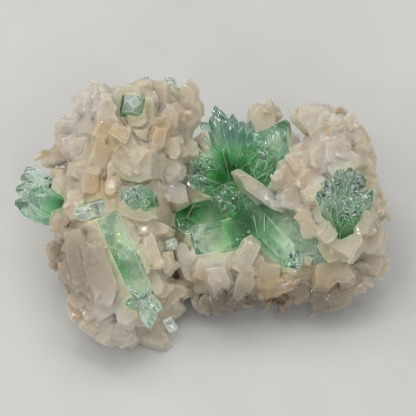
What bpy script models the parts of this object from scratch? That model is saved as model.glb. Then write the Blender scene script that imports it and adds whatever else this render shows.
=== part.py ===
"""Green apophyllite crystals on a matrix of pale stilbite blades.

The specimen lies on its broken back. Its display face leans back from the
viewer, so the layout is written in that face's own millimetres: right, up
and out of the face. The function to_world turns it into the resting pose.
"""
import math
import random

import bmesh
import bpy
from mathutils import Matrix, Vector, noise
from mathutils.bvhtree import BVHTree

# Driving dimensions, in metres and radians
MM = 0.001
FACE_LEAN = math.radians(60.0)      # viewing line of the display face above the floor
FACE_ZERO = Vector((-0.73, -2.46, 28.0)) * MM  # the layout's zero point in the resting pose
SOCKET_GAP = 0.3 * MM               # room left between a crystal and its socket
BLADE_THICK = 3.0 * MM              # thickness of a usual stilbite blade
PYRAMID_STEEPNESS = 1.22            # height that a pyramid face gains per unit inwards
RAY_START_OUT = 80.0                # face millimetres, clear of every blade
RIM_OUT = -6.0                      # where a blade of the rim sits when no rock is behind it
LUMP_SWELL = 0.13                   # unevenness of the rock, as a share of a lump's size
LUMP_GRAIN = 1.7                    # how many swells go round a lump
LUMP_SPREAD = 90.0                  # keeps the swells of neighbouring lumps unlike

# Stilbite blades of the sides and back
HIDDEN_SPACING = 10.8 * MM          # least distance between two of them
HIDDEN_TRIES = 1500
HIDDEN_LENGTHS = (11.0 * MM, 15.0 * MM)
HIDDEN_WIDTHS = (8.0 * MM, 11.5 * MM)
HIDDEN_THICK = 4.4 * MM
HIDDEN_ROOT_DEPTH = 0.55            # share of the length that is sunk in the rock
HIDDEN_TILT = 0.45                  # slant away from the rock's normal, as a slope
DISPLAY_TILT = 1.2                  # the same where the rock looks out of the display face
BASE_SNAP = 0.04 * MM               # points this close to the floor are put on it
LEAST_FACE_AREA = 1.0 * MM * MM
MATRIX_DETAIL = 0.92                # share of the matrix's triangles kept when its slivers are merged
LEAST_HEIGHT = 2.5 * MM             # no blade starts closer to the floor than this
STEEPEST_OVERHANG = -0.55           # nor where the rock's normal points further down
DISPLAY_SIDE = 0.4                  # share of the normal that makes a face part of the display side
TAKEN_SHARE = 0.6                   # where along a blade of the display face its place is marked
SEED = 11

FACE_TURN = Matrix((
    (1.0, 0.0, 0.0),
    (0.0, math.sin(FACE_LEAN), -math.cos(FACE_LEAN)),
    (0.0, math.cos(FACE_LEAN), math.sin(FACE_LEAN)),
))

# The broken rock under the blades, in face millimetres:
# right, up, out, then the half sizes in the same order
LUMPS = (
    (-24, 20, -9, 21, 21, 18),
    (-29, 3, -5, 20, 20, 17),
    (-28, -17, -4, 18, 23, 17),
    (10, 2, -17, 26, 22, 12),
    (14, -19, -9, 22, 11, 12),
    (45, 6, -8, 15, 26, 18),
    (38, -17, -11, 18, 13, 13),
    (22, 20, -21, 13, 12, 9),
)

# The parts of the rock that reach the floor, in floor millimetres:
# x, y and z of the centre, then the half sizes
FEET = (
    (-26, 12, 8, 21, 27, 14),
    (8, 3, 5, 30, 27, 13),
    (38, 5, 8, 20, 23, 15),
)

# Stilbite blades of the display face, in face millimetres and degrees:
# right and up of the tip, direction of the blade, length, width,
# rise of the tip out of the face, roll about its length, lift, form
LEFT_EDGE = (
    (-44.0, 39.7, 150, 16, 7, 0, 20, 0, "point"),
    (-42.0, 41.3, 138, 18, 7, 5, -20, 1, "point"),
    (-38.0, 42.3, 115, 18, 9, 5, 10, 0, "block"),
    (-35.7, 43.4, 112, 20, 8, 10, -15, 1, "point"),
    (-31.7, 42.7, 100, 17, 9, 5, 10, 0, "round"),
    (-27.3, 43.6, 96, 18, 9, 0, 25, 0, "round"),
    (-23.0, 44.2, 90, 18, 10, 5, -10, 0, "round"),
    (-19.0, 44.6, 84, 16, 9, 0, 15, 1, "block"),
    (-14.7, 45.2, 90, 18, 11, 5, -8, 0, "block"),
    (-9.5, 44.0, 84, 16, 9, 5, 12, 0, "round"),
    (-3.2, 45.8, 80, 24, 9.5, 5, -15, 1, "round"),
    (1.9, 36.5, 22, 15, 10, 5, 15, 1, "round"),
    (0.6, 30.2, -18, 15, 8, 10, -15, 0, "round"),
    (-46.7, 33.9, 160, 14, 8, 0, 20, 0, "point"),
    (-49.2, 28.5, 172, 15, 9, 5, -15, 0, "block"),
    (-49.6, 24.0, 182, 14, 9, 5, 12, 0, "round"),
    (-51.7, 19.7, 196, 14, 6, 0, -18, 0, "point"),
    (-53.6, 17.3, 196, 17, 6, 5, 10, 1, "block"),
    (-51.0, -5.8, 200, 12, 5, 5, 10, -2, "point"),
    (-51.3, -14.5, 212, 14, 8, 5, -15, 0, "block"),
    (-46.2, -23.4, 236, 14, 8, 10, 12, 1, "round"),
    (-44.9, -27.5, 218, 11, 5, 0, -10, -2, "block"),
    (-43.2, -31.4, 226, 13, 8, 5, 15, 0, "block"),
    (-37.4, -40.4, 244, 17, 9, 5, -10, 0, "block"),
    (-30.5, -44.4, 258, 17, 9, 5, 12, 1, "round"),
    (-25.8, -44.1, 272, 17, 9, 10, -10, 0, "block"),
    (-23.2, -47.3, 264, 12, 5, 5, 10, 1, "point"),
    (-15.0, -45.0, 282, 15, 10, 0, 15, 0, "block"),
    (-9.2, -44.2, 334, 18, 8, 10, -15, 1, "round"),
    (-7.7, -35.5, 310, 13, 7, 5, 15, -1, "block"),
    (-4.6, -32.8, 328, 13, 8, 5, -10, -1, "round"),
)
LEFT_FACE = (
    (-31.3, 41.3, 92, 21.5, 7.7, 6, 6, 4, "round"),
    (-16.7, 40.3, 90, 13, 4.5, 10, -15, 3, "block"),
    (-12.3, 42.6, 88, 13, 4.6, 8, 12, 4, "block"),
    (-8.0, 37.0, 70, 14, 8, 15, -12, 2, "round"),
    (-20.5, 28.0, 275, 10, 8, 0, 10, 3, "block"),
    (-21.0, 18.0, 297, 12, 6, -5, -12, 4, "round"),
    (-8.0, 17.2, 278, 9, 6, 0, 14, 4, "round"),
    (-15.0, 20.5, 255, 9, 6, 0, -15, 3, "round"),
    (-46.0, 22.0, 176, 15, 10, 15, 8, 2, "round"),
    (-44.0, 13.0, 196, 17, 9, 15, -10, 2, "round"),
    (-23.3, 10.0, 262, 13, 17, -10, 6, 3, "block"),
    (-35.0, 12.0, 250, 13, 10, -5, -12, 3, "block"),
    (-3.4, 2.6, 317, 17, 9, 5, -14, 5, "round"),
    (-7.0, 11.0, 300, 12, 8, 10, 15, 1, "block"),
    (-30.0, 5.0, 262, 8, 5, 10, 10, 2, "round"),
    (-36.5, 6.0, 268, 9, 7, 0, -8, 1, "block"),
    (-48.0, 4.0, 262, 12, 5, 5, 20, 2, "round"),
    (-44.2, -10.5, 284, 18, 8, 5, -10, 2, "round"),
    (-37.5, -28.0, 282, 25, 9, 5, 12, 2, "round"),
    (-29.5, -32.5, 286, 25, 11, 5, -12, 2, "round"),
    (-40.5, -3.0, 275, 12, 7, 10, 18, 2, "block"),
    (-14.0, -1.0, 345, 14, 7, 5, 10, 2, "round"),
    (-8.6, -4.8, 4, 12, 5, 8, -12, 5, "round"),
    (-16.0, -9.0, 286, 12, 7, 5, 12, 2, "round"),
    (-9.5, -14.5, 282, 10, 6, 0, 14, 2, "block"),
    (-18.5, -21.5, 284, 11, 6.5, 5, -12, 1, "block"),
    (-12.2, -27.5, 296, 10, 6, 10, 12, 2, "round"),
    (-4.2, -5.6, 318, 8, 4.5, 10, 15, 3, "round"),
    (-14.2, -18.3, 284, 12, 5.5, 0, -10, 4, "round"),
    (-10.6, -21.0, 273, 9, 4.5, 5, 12, 2, "round"),
    (-2.4, -23.8, 288, 15, 6.5, 5, -12, 3, "round"),
    (-2.9, -26.3, 350, 12, 5.5, 10, 10, 4, "round"),
    (-6.5, -29.8, 336, 13, 5, 12, -14, 4, "block"),
    (-10.5, -33.0, 300, 10, 6, 10, 10, 3, "block"),
    (-17.5, -37.5, 285, 13, 9, 10, -12, 2, "round"),
    (-24.5, -38.5, 268, 15, 9, 12, 10, 2, "round"),
    (-33.5, -36.0, 252, 14, 8, 10, -12, 2, "round"),
)
CENTRE = (
    (20.7, 37.6, 88, 19, 9, 0, 8, 1, "block"),
    (16.2, 36.4, 112, 16, 6, 0, -15, 1, "point"),
    (28.0, 34.0, 32, 15, 6, 0, 12, 1, "point"),
    (24.4, 35.4, 70, 16, 6, 0, -12, 0, "block"),
    (18.8, -7.8, 62, 14, 7, 5, 10, 4, "block"),
    (5.7, -27.7, 280, 11, 6, 5, -12, 4, "point"),
    (9.6, -24.6, 290, 8, 3.6, 5, 14, 3, "block"),
    (11.6, -29.5, 250, 10, 4.5, 5, -10, 4, "block"),
    (1.8, -34.4, 270, 14, 8, 5, 10, 0, "round"),
    (6.8, -33.2, 285, 12, 6, 0, -14, 0, "block"),
    (11.8, -33.8, 300, 13, 7, 5, 12, 1, "point"),
    (16.8, -32.7, 280, 11, 4, 0, 20, 0, "point"),
    (22.3, -32.3, 284, 11, 5, 0, -18, 0, "point"),
    (26.6, -33.8, 250, 11, 4.5, 5, 14, 1, "point"),
    (30.0, -32.0, 282, 12, 5, 5, -14, 0, "point"),
    (33.6, -22.8, 12, 15, 5.5, 5, 14, 4, "round"),
    (22.0, -26.5, 262, 11, 9, 5, -10, 2, "block"),
    (16.5, -27.0, 276, 10, 6, 10, 12, 2, "round"),
    (0.5, -23.0, 262, 9, 8, 5, -10, 1, "round"),
    (-3.6, -19.0, 250, 9, 5, 5, 12, 1, "round"),
    (21.5, -18.5, 330, 12, 9, -5, 10, 1, "block"),
)
RIGHT_EDGE = (
    (30.3, 33.0, 172, 19, 10.5, 5, 12, 3, "round"),
    (38.5, 38.2, 92, 16, 10, 5, -15, 0, "round"),
    (43.8, 35.4, 72, 15, 8, 0, 12, 0, "block"),
    (48.0, 33.2, 62, 15, 8, 5, -12, 0, "block"),
    (52.0, 31.2, 52, 15, 8, 5, 12, 0, "block"),
    (55.7, 28.0, 36, 16, 9, 5, -12, 0, "block"),
    (58.4, 21.6, 26, 15, 9, 5, 14, 0, "block"),
    (59.1, 16.6, 12, 15, 8, 5, -14, 0, "block"),
    (60.1, 10.2, 12, 15, 8, 5, 12, 0, "block"),
    (61.5, 5.0, 18, 14, 7, 5, -12, 0, "point"),
    (62.7, 2.2, 8, 15, 7, 5, 12, 1, "point"),
    (62.7, -8.5, 355, 17, 11, 5, -12, 1, "block"),
    (62.6, -17.0, 346, 18, 11, 5, 12, 1, "block"),
    (57.6, -23.4, 334, 15, 8, 5, -14, 0, "point"),
    (54.4, -26.4, 310, 13, 9, 5, 12, 0, "block"),
    (48.4, -31.2, 298, 15, 11, 5, -12, 0, "block"),
    (41.6, -33.1, 286, 13, 8, 5, 12, 0, "block"),
    (35.2, -29.8, 292, 12, 7, 5, -12, 0, "block"),
)
RIGHT_FACE = (
    (24.2, 12.0, 184, 19, 14, 5, -14, 2, "round"),
    (28.6, 19.4, 150, 18, 10, 5, 12, 2, "round"),
    (25.4, 2.6, 206, 15, 9, 5, -10, 2, "round"),
    (11.6, 14.2, 141, 20, 6.4, 12, 4, 6, "round"),
    (44.6, 16.3, 278, 8, 7, 5, -14, 4, "block"),
    (38.0, 15.0, 52, 9, 6.5, 10, 12, 4, "block"),
    (40.0, -10.0, 234, 13, 6.5, 0, -10, 4, "block"),
    (36.6, -9.4, 282, 12, 5.5, 0, 14, 2, "block"),
    (37.9, -16.0, 350, 8, 4, 5, -12, 3, "block"),
    (46.0, -16.4, 308, 10, 7, 5, 12, 2, "round"),
    (53.0, 20.0, 40, 13, 8, 12, -14, 3, "block"),
    (49.0, 26.0, 60, 13, 9, 12, 12, 3, "round"),
    (42.0, 27.0, 100, 12, 9, 10, -12, 3, "round"),
    (36.0, 22.0, 140, 12, 9, 12, 14, 3, "round"),
    (56.0, 11.0, 10, 12, 9, 12, -12, 3, "block"),
    (58.0, -3.0, 350, 15, 10, 12, 12, 3, "block"),
    (54.0, -12.0, 330, 15, 11, 10, -12, 3, "block"),
    (50.0, -24.0, 300, 13, 8, 10, 12, 3, "round"),
    (41.5, -26.0, 270, 12, 8, 10, -14, 2, "block"),
    (34.0, 4.0, 220, 12, 8, 10, 12, 3, "round"),
)
FACE_BLADES = LEFT_EDGE + LEFT_FACE + CENTRE + RIGHT_EDGE + RIGHT_FACE

# Outline of the display face, in face millimetres: blades of the sides and back stay inside it
FACE_OUTLINE = (
    (-47, 33), (-43, 40), (-34, 43), (-19, 44), (-9, 45), (-2, 45), (2, 40), (0, 28), (5, 29),
    (12, 29), (14, 35), (20, 37), (27, 33), (29, 30), (31, 35), (38, 37), (47, 33), (55, 28),
    (58, 21), (60, 10), (62, 2), (62, -17), (55, -20), (53, -26), (48, -30), (38, -31),
    (29, -30), (20, -30), (4, -33), (-4, -30), (-8, -36), (-10, -43), (-23, -45), (-31, -43),
    (-38, -39), (-41, -32), (-45, -26), (-50, -16), (-50, -7), (-45, 0), (-45, 10), (-52, 17),
    (-49, 24),
)

# Outlines of a blade, as shares of its width and of its length from the root
OUTLINES = {
    "round": ((-0.38, 0), (0.38, 0), (0.5, 0.5), (0.36, 0.9), (-0.1, 1), (-0.5, 0.72)),
    "point": ((-0.4, 0), (0.4, 0), (0.5, 0.5), (0.3, 0.78), (0.04, 1), (-0.5, 0.62)),
    "block": ((-0.44, 0), (0.44, 0), (0.5, 0.55), (0.46, 0.95), (-0.22, 1), (-0.5, 0.82)),
    "slab": ((-0.5, 0), (0.5, 0), (0.5, 0.9), (-0.1, 1), (-0.5, 0.8)),
}
FRONT_SHARE = 0.84                  # the outer face of a blade is this much smaller

# Apophyllite crystals, in face millimetres: right, up and out of the root and of
# the tip, half width and half depth, roll in degrees, share of flat end
CENTRE_CLUSTER = (
    (11.5, 9, -10, 4.9, 36.2, -6, 3.2, 2.7, 38, 0.08),
    (12.0, 12, -10, 9.2, 32.0, -5, 1.5, 1.5, 20, 0.2),
    (12.5, 12, -10, 10.8, 33.7, -9, 2.2, 1.9, 50, 0.1),
    (13.2, 12, -10, 13.9, 31.2, -7, 2.0, 1.8, 15, 0.2),
    (14.0, 12, -9, 16.9, 31.3, -6, 2.2, 1.9, 40, 0.15),
    (15.0, 11, -9, 20.5, 28.0, -6, 2.3, 1.9, 20, 0.2),
    (17.0, 11, -8, 28.9, 31.0, -1, 4.3, 3.8, 28, 0.35),
    (19.0, 14, -11, 20.5, 16.4, 4, 3.2, 2.9, 30, 0.72),
    (16.5, 16, -11, 17.0, 19.8, 2, 2.5, 2.3, 10, 0.7),
    (15.0, 17, -11, 16.2, 23.0, 0, 1.6, 1.5, 35, 0.5),
    (20.5, 17, -10, 22.3, 21.6, 2, 2.0, 1.8, 15, 0.5),
    (8.0, 10, -11, -2.2, 17.6, 0, 4.0, 3.0, 20, 0.4),
    (7.0, 8, -10, -2.6, 11.4, 2, 2.6, 2.2, 48, 0.5),
    (7.5, 27.6, -8, 0.2, 29.8, -6, 1.3, 1.0, 0, 0.5),
    (9.0, 4, -13, 9.9, 5.8, 6, 4.1, 4.6, 24, 0.72),
    (9.0, 5, -11, 24.0, -8.5, -1, 4.4, 3.4, 20, 0.5),
    (13.0, 3, -10, 32.9, -17.5, 7, 3.4, 3.1, 12, 0.42),
    (14.0, -1, -10, 29.4, -17.2, 1, 2.0, 1.8, 40, 0.2),
    (18.0, 5, -11, 41.7, -15.6, 5, 3.4, 2.8, 30, 0.2),
    (10.0, 1, -12, -7.8, -3.2, -2, 4.6, 3.6, 25, 0.5),
    (18.0, -5.4, -2, -2.4, -9.0, 5, 4.9, 2.6, 4, 0.84),
)
RIGHT_CLUSTER = (
    (47.6, -5.5, 5, 39.0, 7.2, 13, 2.3, 2.0, 20, 0.3),
    (47.6, -5.0, 5, 41.6, 11.2, 13, 2.4, 2.0, 45, 0.3),
    (47.7, -5.0, 5, 45.7, 14.5, 13, 2.3, 2.0, 15, 0.3),
    (47.8, -5.0, 5, 49.8, 14.8, 13, 2.3, 2.0, 35, 0.3),
    (47.9, -5.0, 5, 53.2, 13.4, 13, 2.2, 2.0, 10, 0.3),
    (48.1, -5.5, 5, 57.2, 8.0, 13, 2.4, 2.0, 40, 0.2),
    (47.5, -6.0, 6, 42.6, 5.4, 17, 2.5, 2.2, 30, 0.6),
    (47.7, -6.0, 6, 47.4, 5.0, 18, 2.7, 2.3, 12, 0.6),
    (47.9, -6.0, 6, 52.6, 6.2, 17, 2.5, 2.2, 38, 0.6),
    (47.7, -7.0, 6, 47.7, -0.6, 16, 2.5, 2.1, 25, 0.5),
)
LEFT_SPRAY = (
    (-44.0, 0.0, -4, -61.9, 3.9, -2, 4.2, 3.4, 22, 0.15),
    (-45.0, 3.0, -4, -61.2, 8.6, 1, 2.7, 2.4, 10, 0.3),
    (-44.0, 4.0, -5, -59.8, 12.6, -2, 2.6, 2.2, 32, 0.4),
    (-44.0, 6.0, -6, -58.6, 15.0, -5, 1.8, 1.6, 15, 0.5),
    (-45.0, 1.0, -2, -56.0, 7.4, 5, 3.4, 2.8, 28, 0.5),
)
LONG_BLADE = (
    (-30.6, -0.6, 14, -17.8, -29.0, 15, 3.5, 2.9, 8, 0.25),
    (-16.8, -29.0, 11, -24.8, -29.8, 13.5, 1.8, 1.6, 20, 0.2),
    (-17.8, -27.0, 11, -16.4, -37.8, 12.5, 2.2, 1.8, 35, 0.2),
    (-18.8, -28.0, 11, -13.0, -31.8, 14.5, 2.1, 1.8, 12, 0.4),
)
SINGLE_CRYSTALS = {
    "apophyllite_top_crystal": (
        (-23.6, 34.2, -2, -21.6, 37.0, 12, 3.2, 3.0, -10, 0.66),
    ),
    "apophyllite_left_crystal": (
        (-33.0, 1.8, 9, -41.6, -0.4, 16, 2.9, 2.4, 25, 0.3),
    ),
    "apophyllite_mid_crystal": (
        (-16.5, 4.4, 8, -25.6, 6.6, 17, 2.9, 2.6, 30, 0.4),
        (-16.0, 4.0, 8, -17.8, 3.6, 17.0, 2.3, 2.0, 12, 0.6),
        (-17.0, 5.0, 8, -21.6, 8.6, 16, 2.2, 2.0, 44, 0.3),
    ),
    "apophyllite_clear_peak": (
        (-10.4, 41.0, -9, -10.2, 45.4, -3, 2.1, 1.9, 20, 0.5),
    ),
    "apophyllite_clear_ridge": (
        (-18.2, 41.6, -9, -18.2, 46.2, -6, 1.4, 1.3, 30, 0.4),
    ),
    "apophyllite_clear_seam": (
        (-9.6, -9.8, 3, -9.2, -10.4, 12, 1.8, 1.6, 15, 0.5),
    ),
    "apophyllite_clear_foot": (
        (-10.5, -36.0, 0, -8.6, -38.4, 6.5, 1.6, 1.4, 25, 0.4),
    ),
}


def to_world(right, up, out):
    """Point of the resting specimen for a point of the display face, given in millimetres."""
    turned = FACE_TURN @ Vector((right, up, out)) * MM
    return turned + FACE_ZERO


def to_face(point):
    """The inverse of to_world."""
    turned = FACE_TURN.transposed() @ (point - FACE_ZERO)
    return turned / MM


def inside_outline(right, up):
    """Whether a point lies inside the outline of the display face.

    A line from the point to the right crosses the outline an odd number of times.
    """
    inside = False
    for (x_a, y_a), (x_b, y_b) in zip(FACE_OUTLINE, FACE_OUTLINE[1:] + FACE_OUTLINE[:1]):
        if (y_a > up) != (y_b > up):
            crossing = x_a + (up - y_a) * (x_b - x_a) / (y_b - y_a)
            inside = inside != (right < crossing)
    return inside


def rough_lump(shape, centre, half_sizes, turn):
    """Add an uneven ellipsoid to a bmesh: an icosphere whose points swell and sink."""
    made = bmesh.ops.create_icosphere(shape, subdivisions=2, radius=1.0)
    for vert in made["verts"]:
        swell = 1.0 + LUMP_SWELL * noise.noise(vert.co * LUMP_GRAIN + centre * LUMP_SPREAD)
        stretched = Vector(size * axis * swell for size, axis in zip(half_sizes, vert.co))
        vert.co = centre + turn @ stretched


def add_prism_faces(shape, rings):
    """Skin a closed solid over rings of points: sides between them, and a cap at each end."""
    layers = [[shape.verts.new(point) for point in ring] for ring in rings]
    count = len(layers[0])
    for lower, upper in zip(layers, layers[1:]):
        for index in range(count):
            following = (index + 1) % count
            shape.faces.new((lower[index], lower[following], upper[following], upper[index]))
    shape.faces.new(reversed(layers[0]))
    shape.faces.new(layers[-1])


def add_blade(shape, root, along, facing, length, width, thick, form):
    """Add one tabular blade: its outline drawn twice, the outer face a little smaller.

    thick gives how far the blade reaches behind and in front of its middle plane.
    """
    across = along.cross(facing).normalized()
    front = across.cross(along).normalized()
    rings = []
    for side, share in ((-thick[0], 1.0), (thick[1], FRONT_SHARE)):
        ring = []
        for x_share, y_share in OUTLINES[form]:
            y_inset = 0.5 + (y_share - 0.5) * share
            point = root + across * (x_share * width * share) + along * (y_inset * length)
            ring.append(point + front * side)
        rings.append(ring)
    add_prism_faces(shape, rings)


def blade_frame(aim, rise, roll):
    """Direction along a blade and the direction that its broad face looks to, in the room."""
    aim, rise, roll = (math.radians(value) for value in (aim, rise, roll))
    along = Vector((math.cos(aim) * math.cos(rise), math.sin(aim) * math.cos(rise), math.sin(rise)))
    facing = Vector((0.0, 0.0, 1.0))
    facing = (facing - along * facing.dot(along)).normalized()
    facing = Matrix.Rotation(roll, 3, along) @ facing
    return along, facing


def crystal_rings(half_width, half_depth, length, flat_share):
    """Rings of an apophyllite crystal: a square prism whose corners are cut by a pyramid.

    Each ring has eight points, corner and middle of side in turn. The pyramid's faces
    stand over the prism's edges, and a square flat end closes it.
    """
    corners = ((1, 1), (0, 1), (-1, 1), (-1, 0), (-1, -1), (0, -1), (1, -1), (1, 0))
    reach = PYRAMID_STEEPNESS * 0.5 * (half_width + half_depth)
    shoulder = length - reach * (2.0 - flat_share)
    foot = []
    collar = []
    tip = []
    for x, y in corners:
        is_corner = x != 0 and y != 0
        foot.append((x * half_width, y * half_depth, 0.0))
        rise = 0.0 if is_corner else reach
        collar.append((x * half_width, y * half_depth, shoulder + rise))
        if not is_corner:
            tip.append((x * half_width * flat_share, y * half_depth * flat_share, length))
    return foot, collar, tip


def add_crystal(shape, layout, grown):
    """Add one apophyllite crystal, larger by grown on every side when it is a socket cutter."""
    root_right, root_up, root_out, tip_right, tip_up, tip_out = layout[:6]
    half_width, half_depth, roll, flat_share = layout[6:]
    root = to_world(root_right, root_up, root_out)
    axis = to_world(tip_right, tip_up, tip_out) - root
    length = axis.length + 2.0 * grown
    axis.normalize()
    root -= axis * grown
    sideways = FACE_TURN @ Vector((1.0, 0.0, 0.0))
    if abs(axis.dot(sideways)) > 0.8:
        sideways = FACE_TURN @ Vector((0.0, 1.0, 0.0))
    across = (sideways - axis * sideways.dot(axis)).normalized()
    across = Matrix.Rotation(math.radians(roll), 3, axis) @ across
    deep = axis.cross(across)
    frame = Matrix((across, deep, axis)).transposed()
    sizes = (half_width * MM + grown, half_depth * MM + grown, length, flat_share)
    foot, collar, tip = (
        [shape.verts.new(root + frame @ Vector(point)) for point in ring]
        for ring in crystal_rings(*sizes)
    )
    for corner in range(0, 8, 2):
        middle = (corner + 1) % 8
        next_corner = (corner + 2) % 8
        last_middle = (corner - 1) % 8
        tip_here = tip[corner // 2]
        tip_before = tip[corner // 2 - 1]
        shape.faces.new((foot[corner], foot[next_corner], collar[next_corner],
                         collar[middle], collar[corner]))
        shape.faces.new((collar[corner], collar[middle], tip_here, tip_before, collar[last_middle]))
    shape.faces.new(reversed([foot[corner] for corner in range(0, 8, 2)]))
    shape.faces.new(tip)
    for middle in range(1, 8, 2):
        shape.verts.remove(foot[middle])


def as_object(name, shape, is_guide=False):
    """Link a bmesh as an object; a guide is drawn as wire and is no piece of the specimen."""
    bmesh.ops.recalc_face_normals(shape, faces=shape.faces)
    mesh = bpy.data.meshes.new(name)
    shape.to_mesh(mesh)
    shape.free()
    item = bpy.data.objects.new(name, mesh)
    bpy.context.scene.collection.objects.link(item)
    if is_guide:
        item.hide_render = True
        item.display_type = "WIRE"
    return item


def add_boolean(item, operand, operation):
    """Join an operand to an object, or cut it away, with overlaps inside either allowed."""
    modifier = item.modifiers.new(operation.title() + "_" + operand.name, "BOOLEAN")
    modifier.operation = operation
    modifier.solver = "EXACT"
    modifier.use_self = True
    modifier.object = operand


def evaluated_bmesh(item):
    """The shape of an object with its modifiers, as a new bmesh."""
    graph = bpy.context.evaluated_depsgraph_get()
    shape = bmesh.new()
    shape.from_object(item, graph)
    return shape


def make_material(name, colour, roughness, transmission):
    """Principled material of one mineral."""
    material = bpy.data.materials.new(name)
    material.use_nodes = True
    shader = material.node_tree.nodes["Principled BSDF"]
    shader.inputs["Base Color"].default_value = (*colour, 1.0)
    shader.inputs["Roughness"].default_value = roughness
    shader.inputs["Metallic"].default_value = 0.0
    shader.inputs["Transmission Weight"].default_value = transmission
    shader.inputs["IOR"].default_value = 1.535
    material.diffuse_color = (*colour, 1.0)
    return material


def make_crystal_group(name, crystals, material):
    """One apophyllite group: its crystals grown together into one solid."""
    first = bmesh.new()
    add_crystal(first, crystals[0], 0.0)
    group = as_object(name, first)
    if len(crystals) > 1:
        rest = bmesh.new()
        for layout in crystals[1:]:
            add_crystal(rest, layout, 0.0)
        add_boolean(group, as_object(name + "_twins", rest, is_guide=True), "UNION")
    group.data.materials.append(material)
    return group


def make_rock():
    """The rock under the blades: its lumps and feet, fused."""
    rock = bmesh.new()
    others = bmesh.new()
    for index, (right, up, out, *half_sizes) in enumerate(LUMPS):
        target = rock if index == 0 else others
        sizes = Vector(half_sizes) * MM
        rough_lump(target, to_world(right, up, out), sizes, FACE_TURN)
    for x, y, z, *half_sizes in FEET:
        rough_lump(others, Vector((x, y, z)) * MM, Vector(half_sizes) * MM, Matrix.Identity(3))
    item = as_object("stilbite_matrix", rock)
    add_boolean(item, as_object("rock_lumps", others, is_guide=True), "UNION")
    return item


def face_blade_seats(tree):
    """Root, directions and sizes of each blade of the display face, set on the rock below it."""
    for right, up, aim, length, width, rise, roll, lift, form in FACE_BLADES:
        along, facing = blade_frame(aim, rise, roll)
        mid_right = right - 0.5 * length * along.x
        mid_up = up - 0.5 * length * along.y
        start = to_world(mid_right, mid_up, RAY_START_OUT)
        hit = tree.ray_cast(start, FACE_TURN @ Vector((0.0, 0.0, -1.0)))[0]
        if hit is None:
            hit = tree.find_nearest(to_world(mid_right, mid_up, RIM_OUT))[0]
        out = to_face(hit).z + lift
        centre = Vector((mid_right, mid_up, out))
        root = to_world(*(centre - along * (0.5 * length)))
        thick = (0.5 * BLADE_THICK + max(lift, 0.0) * MM, 0.5 * BLADE_THICK)
        yield root, FACE_TURN @ along, FACE_TURN @ facing, length * MM, width * MM, thick, form


def hidden_blade_seats(rock_shape, taken):
    """Blades of the sides and back, spread over the rock where no other blade stands."""
    chance = random.Random(SEED)
    outward = FACE_TURN @ Vector((0.0, 0.0, 1.0))
    faces = [face for face in rock_shape.faces if face.calc_area() > LEAST_FACE_AREA]
    areas = [face.calc_area() for face in faces]
    for _ in range(HIDDEN_TRIES):
        face = chance.choices(faces, weights=areas)[0]
        corners = [vert.co for vert in face.verts]
        along_edge = (corners[0] - corners[1]) * (0.5 * chance.random() - 0.25)
        spot = face.calc_center_median() + along_edge
        normal = face.normal.copy()
        if spot.z < LEAST_HEIGHT or normal.z < STEEPEST_OVERHANG:
            continue
        if any((spot - other).length < HIDDEN_SPACING for other in taken):
            continue
        tilt = Vector([chance.uniform(-HIDDEN_TILT, HIDDEN_TILT) for _ in range(3)])
        if normal.dot(outward) > DISPLAY_SIDE:
            slant = Vector((chance.uniform(-1, 1), chance.uniform(-1, 1), 0.0))
            tilt = FACE_TURN @ slant * DISPLAY_TILT
        along = (normal + tilt).normalized()
        facing = along.orthogonal()
        facing = Matrix.Rotation(chance.uniform(0.0, math.pi), 3, along) @ facing
        length = chance.uniform(*HIDDEN_LENGTHS)
        width = chance.uniform(*HIDDEN_WIDTHS)
        form = chance.choice(("point", "block", "slab"))
        root = spot - along * (length * HIDDEN_ROOT_DEPTH)
        tip = to_face(root + along * length)
        if not inside_outline(tip.x, tip.y):
            continue
        taken.append(spot)
        yield root, along, facing, length, width, (0.5 * HIDDEN_THICK, 0.5 * HIDDEN_THICK), form


def drop_crumbs(shape):
    """Keep the largest connected piece, because a socket can cut a blade's corner loose."""
    waiting = set(shape.verts)
    pieces = []
    while waiting:
        piece = {waiting.pop()}
        edge_of_piece = list(piece)
        while edge_of_piece:
            vert = edge_of_piece.pop()
            for edge in vert.link_edges:
                other = edge.other_vert(vert)
                if other not in piece:
                    piece.add(other)
                    edge_of_piece.append(other)
        waiting -= piece
        pieces.append(piece)
    largest = max(pieces, key=len)
    crumbs = [vert for vert in shape.verts if vert not in largest]
    bmesh.ops.delete(shape, geom=crumbs, context="VERTS")


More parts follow.
